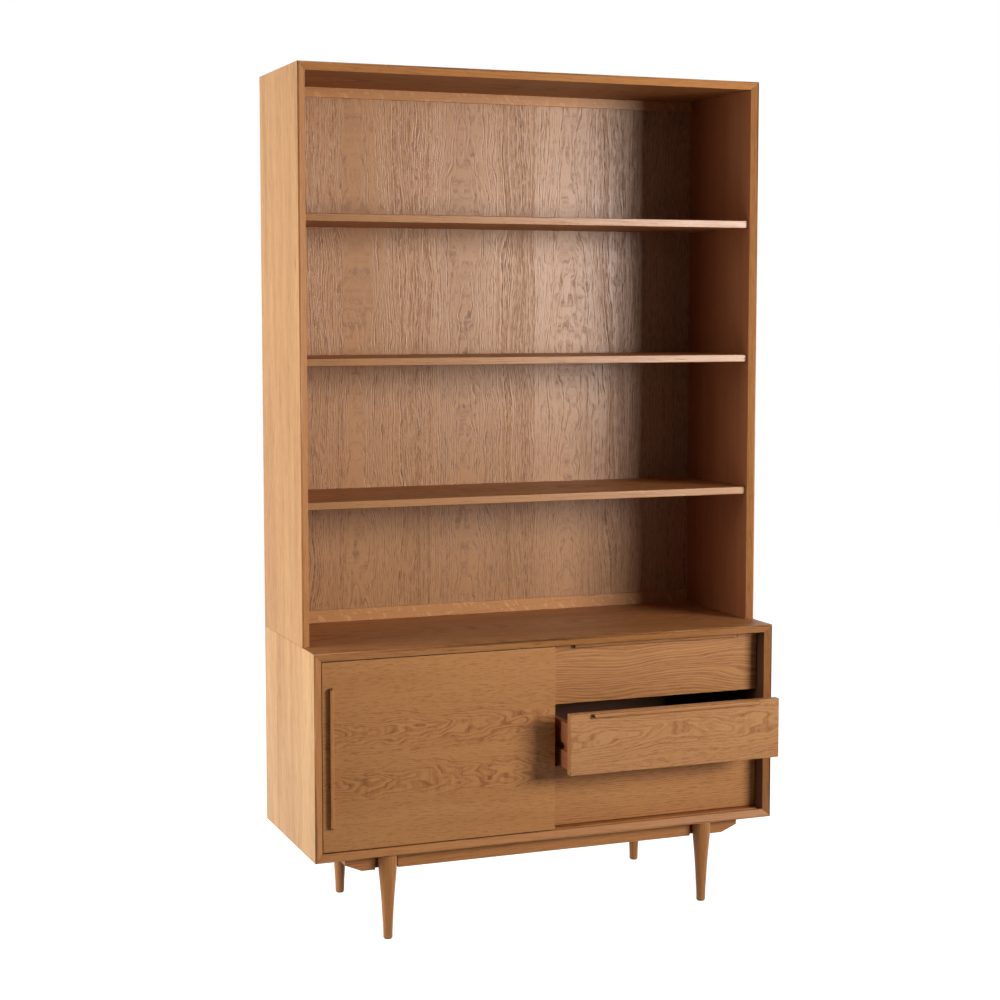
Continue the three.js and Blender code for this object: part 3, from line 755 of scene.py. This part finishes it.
# Metal and nylon: two colours in a fine cloud
cloud = {"detail": 3.0, "roughness": 0.6, "step": (0.3, 0.7), "relief": 0.00005}
smallFinishes = {
    "zincSteel": {
        "dark": (0.42, 0.41, 0.39), "pale": (0.62, 0.6, 0.56), "scale": 900.0,
        "roughness": (0.28, 0.45), "metallic": 1.0,
    },
    "brownNylon": {
        "dark": (0.035, 0.022, 0.014), "pale": (0.06, 0.042, 0.03), "scale": 400.0,
        "roughness": (0.42, 0.6), "metallic": 0.0,
    },
}


def noisyMaterial(name):
    look = smallFinishes[name]
    material, tree = newMaterial(name)
    marks = noise(tree, objectPoint(tree), look["scale"], cloud["detail"], cloud["roughness"])
    ramp = addNode(tree, "ShaderNodeValToRGB", {"Fac": spread(tree, marks, *cloud["step"])})
    for element, colour in zip(ramp.color_ramp.elements, (look["dark"], look["pale"])):
        element.color = (*colour, 1.0)
    given = {"Height": marks, "Strength": 1.0, "Distance": cloud["relief"]}
    bump = addNode(tree, "ShaderNodeBump", given)
    shader = addNode(tree, "ShaderNodeBsdfPrincipled", {
        "Base Color": ramp.outputs["Color"],
        "Roughness": spread(tree, marks, *cloud["step"], *look["roughness"]),
        "Normal": bump.outputs["Normal"],
        "Metallic": look["metallic"],
    })
    addNode(tree, "ShaderNodeOutputMaterial", {"Surface": shader.outputs[0]})
    return material


# Screws: cross heads round the back panels and under the stretchers
screwSpecs = {
    "panel": {
        "Head radius": 0.0032, "Head height": 0.0012, "Cross width": 0.0011, "Cross depth": 0.0008,
    },
    "frame": {
        "Head radius": 0.0045, "Head height": 0.0011, "Cross width": 0.0014, "Cross depth": 0.0008,
    },
}
screwHead = {"sides": 16, "topShare": 0.72, "crossReach": 1.1}  # shares of the head's radius
screwPlaces = {
    "panelInset": 0.0045, "panelStep": 0.19, "shelfAcross": 4,
    "dividerInset": 0.08, "dividerStep": 0.14, "stretcherAcross": 4, "stretcherEnd": 0.13,
}
screwFacing = {"panel": (math.radians(-90), 0.0, 0.0), "frame": (math.radians(180), 0.0, 0.0)}


def buildScrewTree(shape):
    lengths = {name: "Float" for name in screwSpecs["panel"]}
    others = {"Facing": "Vector", "Seed": "Int", "Metal": "Material"}
    tree, sizes = newShape("crossHeadScrews", {**lengths, **others})
    head = addNode(tree, "GeometryNodeMeshCone", {
        "Vertices": shape["sides"], "Side Segments": 1, "Radius Bottom": sizes["Head radius"],
        "Radius Top": calc(tree, "MULTIPLY", sizes["Head radius"], shape["topShare"]),
        "Depth": sizes["Head height"],
    }).outputs["Mesh"]
    reach = calc(tree, "MULTIPLY", sizes["Head radius"], shape["crossReach"])
    deep = calc(tree, "MULTIPLY", sizes["Cross depth"], 2.0)  # half of it stands over the head
    bars = []
    for size in ((reach, sizes["Cross width"]), (sizes["Cross width"], reach)):
        bar = addNode(tree, "GeometryNodeMeshCube", {"Size": joinPoint(tree, *size, deep)})
        lift = joinPoint(tree, 0.0, 0.0, sizes["Head height"])
        bars.append(moved(tree, bar.outputs["Mesh"], lift))
    cut = addNode(tree, "GeometryNodeMeshBoolean", operation="DIFFERENCE")
    tree.links.new(head, cut.inputs[0])
    for bar in bars:
        tree.links.new(bar, cut.inputs[1])
    facing = addNode(tree, "FunctionNodeEulerToRotation", {0: sizes["Facing"]}).outputs[0]
    row = addNode(tree, "GeometryNodeInstanceOnPoints", {
        "Points": sizes["Geometry"], "Instance": cut.outputs[0], "Rotation": facing,
    }).outputs[0]
    chance = addNode(tree, "FunctionNodeRandomValue", data_type="FLOAT")
    chance.inputs[3].default_value = math.tau
    tree.links.new(sizes["Seed"], chance.inputs["Seed"])
    turn = joinPoint(tree, 0.0, 0.0, chance.outputs[1])
    spin = addNode(tree, "FunctionNodeEulerToRotation", {0: turn}).outputs[0]
    given = {"Instances": row, "Rotation": spin}
    turned = addNode(tree, "GeometryNodeRotateInstances", given).outputs[0]
    return endShape(tree, turned, sizes["Metal"])


def spaced(low, high, step):
    count = max(1, round((high - low) / step))
    return [low + (high - low) * index / count for index in range(count + 1)]


def panelPlaces(node, inset, step):  # round the edge of a back panel
    low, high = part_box(node)
    left, right, bottom, top = low.x + inset, high.x - inset, low.z + inset, high.z - inset
    places = [(x, high.y, z) for x in (left, right) for z in spaced(bottom, top, step)]
    return places + [(x, high.y, z) for z in (bottom, top) for x in spaced(left, right, step)[1:-1]]


def addScrews(spec):
    behind, below = [], []
    for node in ("upper_back_panel", "lower_back_panel"):
        behind += panelPlaces(node, spec["panelInset"], spec["panelStep"])
    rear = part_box("upper_back_panel")[1].y
    for node in ("shelf_low", "shelf_middle", "shelf_high"):
        low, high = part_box(node)
        step, height = (high.x - low.x) / spec["shelfAcross"], (low.z + high.z) / 2
        for index in range(spec["shelfAcross"]):
            behind.append((low.x + step * (index + 0.5), rear, height))
    low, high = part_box("divider")
    ends = (low.z + spec["dividerInset"], high.z - spec["dividerInset"])
    behind += [((low.x + high.x) / 2, rear, z) for z in spaced(*ends, spec["dividerStep"])]
    for node in ("stretcher_front", "stretcher_rear"):
        low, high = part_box(node)
        ends = (low.x + spec["stretcherEnd"], high.x - spec["stretcherEnd"])
        step = (ends[1] - ends[0]) / (spec["stretcherAcross"] - 1)
        below += [(x, (low.y + high.y) / 2, low.z) for x in spaced(*ends, step)]
    steel = noisyMaterial("zincSteel")
    tree = buildScrewTree(screwHead)
    sets = {"panelScrews": ("panel", behind), "stretcherScrews": ("frame", below)}
    for number, (name, (kind, places)) in enumerate(sets.items()):
        settings = {"Facing": screwFacing[kind], "Seed": number, "Metal": steel}
        piece = growShape(name, tree, {**screwSpecs[kind], **settings}, points=places)
        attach(piece, "root")
        print(name, len(places), "screws,", len(piece.data.polygons), "faces")


addScrews(screwPlaces)


# The small solids that keep the frame's own shape get finishes of their own
def repaint(node, material):
    for place in nodes[node].material_slots:
        place.material = material


dowelGrain = {"Heart depth": 0.1}
nylon = noisyMaterial("brownNylon")
for number, node in enumerate(sorted(nodes)):
    if node.startswith("dowel_"):
        seed = seedSteps["dowel"] + number
        wood = woodMaterial(node + "Wood", "beech", "ZXY", middleOf(node), seed, dowelGrain)
        repaint(node, wood)
    elif "glide" in node or "guide" in node:
        repaint(node, nylon)
print("small parts finished")

# Studio: floor, world and lamps
studio = {
    "floorSize": 60.0, "ambient": 0.03,
    "floorBounce": 0.35, "floorShown": 0.35,
    "glowNear": 0.97, "glowFar": 1.0, "glowReach": (2.5, 7.0),  # the floor ends in plain white
}


def seenDirectly(tree):  # 1 for the camera and for gloss and glass, 0 for plain light
    path = addNode(tree, "ShaderNodeLightPath").outputs
    either = calc(tree, "MAXIMUM", path["Is Camera Ray"], path["Is Glossy Ray"])
    return calc(tree, "MAXIMUM", either, path["Is Transmission Ray"])


def mattGrey(tree, level):
    return addNode(tree, "ShaderNodeBsdfDiffuse", {"Color": (level, level, level, 1.0)}).outputs[0]


def addFloor(spec):
    bpy.ops.mesh.primitive_plane_add(size=spec["floorSize"])
    floor = bpy.context.object
    floor.name = "studioFloor"
    material, tree = newMaterial("paleFloor")
    seen = seenDirectly(tree)
    plain = mattGrey(tree, spec["floorBounce"])
    shown = mattGrey(tree, spec["floorShown"])
    given = {0: objectPoint(tree)}
    away = addNode(tree, "ShaderNodeVectorMath", given, operation="LENGTH").outputs["Value"]
    strength = spread(tree, away, *spec["glowReach"], spec["glowNear"], spec["glowFar"])
    glow = addNode(tree, "ShaderNodeEmission", {"Strength": strength}).outputs[0]
    bright = addNode(tree, "ShaderNodeAddShader", {0: shown, 1: glow}).outputs[0]
    mixed = addNode(tree, "ShaderNodeMixShader", {"Fac": seen, 1: plain, 2: bright}).outputs[0]
    addNode(tree, "ShaderNodeOutputMaterial", {"Surface": mixed})
    floor.data.materials.append(material)


def addWorld(spec):
    world = bpy.data.worlds.new("studioWorld")
    bpy.context.scene.world = world
    world.use_nodes = True
    tree = world.node_tree
    tree.nodes.clear()
    white = (1.0, 1.0, 1.0, 1.0)
    soft, bright = (
        addNode(tree, "ShaderNodeBackground", {"Color": white, "Strength": strength}).outputs[0]
        for strength in (spec["ambient"], 1.0)
    )
    given = {"Fac": seenDirectly(tree), 1: soft, 2: bright}
    mixed = addNode(tree, "ShaderNodeMixShader", given).outputs[0]
    addNode(tree, "ShaderNodeOutputWorld", {"Surface": mixed})


# Softboxes: their places, the points that they face, their sizes and powers in watts
softboxes = {
    "rightKey": {
        "place": (2.6, -3.0, 1.62), "facing": (0.0, 0.0, 1.45), "size": (1.7, 1.2),
        "spread": 90.0, "power": 51.0,
    },
    "leftFill": {
        "place": (-3.4, 0.1, 1.3), "facing": (-0.5, 0.0, 1.0), "size": (1.8, 2.4),
        "spread": 180.0, "power": 134.0,
    },
    "rearFill": {
        "place": (0.7, 3.2, 2.9), "facing": (0.0, 0.2, 1.0), "size": (2.0, 2.0),
        "spread": 180.0, "power": 75.0,
    },
}


def addSoftbox(name, spec):
    data = bpy.data.lights.new(name, "AREA")
    data.shape = "RECTANGLE"
    data.size, data.size_y = spec["size"]
    data.energy = spec["power"]
    data.spread = math.radians(spec["spread"])
    lamp = bpy.data.objects.new(name, data)
    lamp.location = spec["place"]
    away = Vector(spec["place"]) - Vector(spec["facing"])
    lamp.rotation_euler = away.to_track_quat("Z", "Y").to_euler()
    bpy.context.collection.objects.link(lamp)


addFloor(studio)
addWorld(studio)
for name, spec in softboxes.items():
    addSoftbox(name, spec)
bpy.context.scene.view_settings.view_transform = "Standard"
print("studio ready")
